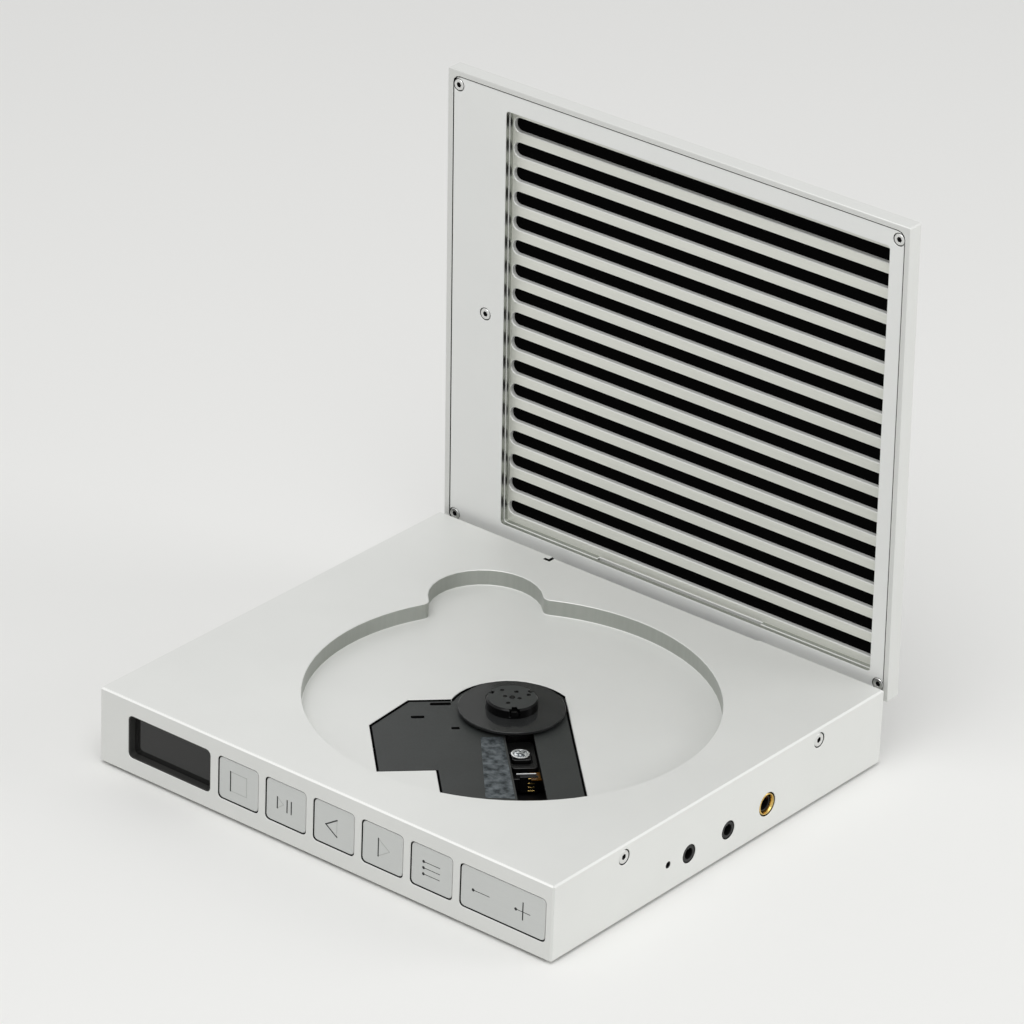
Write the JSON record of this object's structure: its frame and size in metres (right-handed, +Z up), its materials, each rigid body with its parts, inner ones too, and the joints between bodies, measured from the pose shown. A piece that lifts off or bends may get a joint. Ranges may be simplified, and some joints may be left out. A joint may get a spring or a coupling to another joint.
{
  "type": "portable CD player",
  "caption": "Portable CD player in bead-blasted aluminium with an open hinged lid of long slots, a disc well with spindle and laser pickup, front keys, a display and side jacks.",
  "frame": {"origin": "middle of the bottom face of the whole bounding box, lid open as in the picture; the rubber feet stand at z = 0", "axes": "+Z up, -Y to the front with the display and keys, +X to the side with the jacks"},
  "size_m": [0.171, 0.1631, 0.1757],
  "materials": {
    "blasted_aluminium": "bead-blasted and clear anodised, satin",
    "key_aluminium": "fine-brushed and anodised, satin",
    "bright_steel": "bright plated",
    "dark_coated_steel": "dark grey matt coat",
    "gold_plate": "polished gold plate",
    "foot_rubber": "matt black",
    "black_plastic": "fine matt",
    "dark_plastic": "fine matt",
    "display_window": "dark tinted, glossy",
    "lens_glass": "coated, clear",
    "circuit_board": "solder-mask green",
    "battery_wrap": "shrunk film",
    "amber_film": "translucent amber film"
  },
  "bodies": {
    "case": {"upper_case": "blasted_aluminium", "bottom_cover": "blasted_aluminium", "foot_1": "foot_rubber", "foot_2": "foot_rubber", "foot_3": "foot_rubber", "foot_4": "foot_rubber", "side_screw_1": "bright_steel", "side_screw_2": "bright_steel", "side_screw_3": "bright_steel", "side_screw_4": "bright_steel", "balanced_jack": "black_plastic", "balanced_jack_sleeve": "gold_plate", "headphone_jack": "black_plastic", "line_jack": "black_plastic", "supply_socket": "bright_steel", "main_board": "circuit_board", "battery_pack": "battery_wrap", "display_bezel": "black_plastic", "display_lens": "display_window", "display_module": "black_plastic", "key_board": "circuit_board", "case_magnet_1": "bright_steel", "case_magnet_2": "bright_steel", "hinge_case_leaf": "bright_steel", "hinge_pin": "bright_steel", "drive_chassis": "black_plastic", "drive_cover": "dark_coated_steel", "damper_1": "foot_rubber", "damper_2": "foot_rubber", "damper_3": "foot_rubber", "spindle_motor": "bright_steel", "guide_rod_1": "bright_steel", "guide_rod_2": "bright_steel", "sled_motor": "bright_steel"},
    "lid": {"lid_shell": "blasted_aluminium", "lid_inner_plate": "blasted_aluminium", "lid_screw_1": "bright_steel", "lid_screw_2": "bright_steel", "lid_screw_3": "bright_steel", "lid_screw_4": "bright_steel", "lid_screw_5": "bright_steel", "lid_magnet_1": "bright_steel", "lid_magnet_2": "bright_steel", "hinge_lid_leaf": "bright_steel"},
    "spindle": {"turntable": "dark_plastic"},
    "claw_1": {"disc_claw_1": "dark_plastic"},
    "claw_2": {"disc_claw_2": "dark_plastic"},
    "claw_3": {"disc_claw_3": "dark_plastic"},
    "pickup": {"pickup_sled": "black_plastic", "pickup_flex": "amber_film"},
    "lens": {"lens_holder": "black_plastic", "objective_lens": "lens_glass"},
    "gear": {"drive_gear": "dark_plastic"},
    "pinion": {"motor_pinion": "bright_steel"},
    "stop": {"key_stop": "key_aluminium"},
    "play": {"key_play": "key_aluminium"},
    "previous": {"key_previous": "key_aluminium"},
    "next": {"key_next": "key_aluminium"},
    "list": {"key_list": "key_aluminium"},
    "volume": {"volume_rocker": "key_aluminium"}
  },
  "joints": [
    {"name": "lid_hinge", "type": "hinge", "parent": "case", "child": "lid", "pos_m": [0, 0.0722, 0.0219], "axis": [1, 0, 0], "range_deg": [0, 88.2]},
    {"name": "spindle_turn", "type": "hinge", "parent": "case", "child": "spindle", "pos_m": [0.0069, -0.00365, 0.02175], "axis": [0, 0, 1], "continuous": true},
    {"name": "claw_1_slide", "type": "slide", "parent": "spindle", "child": "claw_1", "axis": [0.7071, -0.7071, 0], "range_m": [-0.00045, 0], "stiffness_N_per_m": 100},
    {"name": "claw_2_slide", "type": "slide", "parent": "spindle", "child": "claw_2", "axis": [0.2588, 0.9659, 0], "range_m": [-0.00045, 0], "stiffness_N_per_m": 100},
    {"name": "claw_3_slide", "type": "slide", "parent": "spindle", "child": "claw_3", "axis": [-0.9659, -0.2588, 0], "range_m": [-0.00045, 0], "stiffness_N_per_m": 100},
    {"name": "sled_slide", "type": "slide", "parent": "case", "child": "pickup", "axis": [0.7071, -0.7071, 0], "range_m": [-0.002, 0.033]},
    {"name": "lens_focus", "type": "slide", "parent": "pickup", "child": "lens", "axis": [0, 0, 1], "range_m": [-0.0004, 0.0004], "stiffness_N_per_m": 100},
    {"name": "gear_turn", "type": "hinge", "parent": "case", "child": "gear", "pos_m": [0.0127, -0.04594, 0.014], "axis": [0, 0, 1], "range_deg": [-420, 48]},
    {"name": "pinion_turn", "type": "hinge", "parent": "case", "child": "pinion", "pos_m": [0.0032, -0.04594, 0.012], "axis": [0, 0, 1], "range_deg": [-134, 1176]},
    {"name": "stop_push", "type": "slide", "parent": "case", "child": "stop", "axis": [0, 1, 0], "range_m": [0, 0.0005], "stiffness_N_per_m": 1500},
    {"name": "play_push", "type": "slide", "parent": "case", "child": "play", "axis": [0, 1, 0], "range_m": [0, 0.0005], "stiffness_N_per_m": 1500},
    {"name": "previous_push", "type": "slide", "parent": "case", "child": "previous", "axis": [0, 1, 0], "range_m": [0, 0.0005], "stiffness_N_per_m": 1500},
    {"name": "next_push", "type": "slide", "parent": "case", "child": "next", "axis": [0, 1, 0], "range_m": [0, 0.0005], "stiffness_N_per_m": 1500},
    {"name": "list_push", "type": "slide", "parent": "case", "child": "list", "axis": [0, 1, 0], "range_m": [0, 0.0005], "stiffness_N_per_m": 1500},
    {"name": "volume_rock", "type": "hinge", "parent": "case", "child": "volume", "pos_m": [0.0674, -0.08155, 0.01315], "axis": [0, 0, 1], "range_deg": [-1.8, 1.8], "stiffness_Nm_per_rad": 0.1}
  ],
  "couplings": [
    {"joint": "gear_turn", "follows": "sled_slide", "rad_per_m": -208.33},
    {"joint": "pinion_turn", "follows": "sled_slide", "rad_per_m": 583.33}
  ]
}
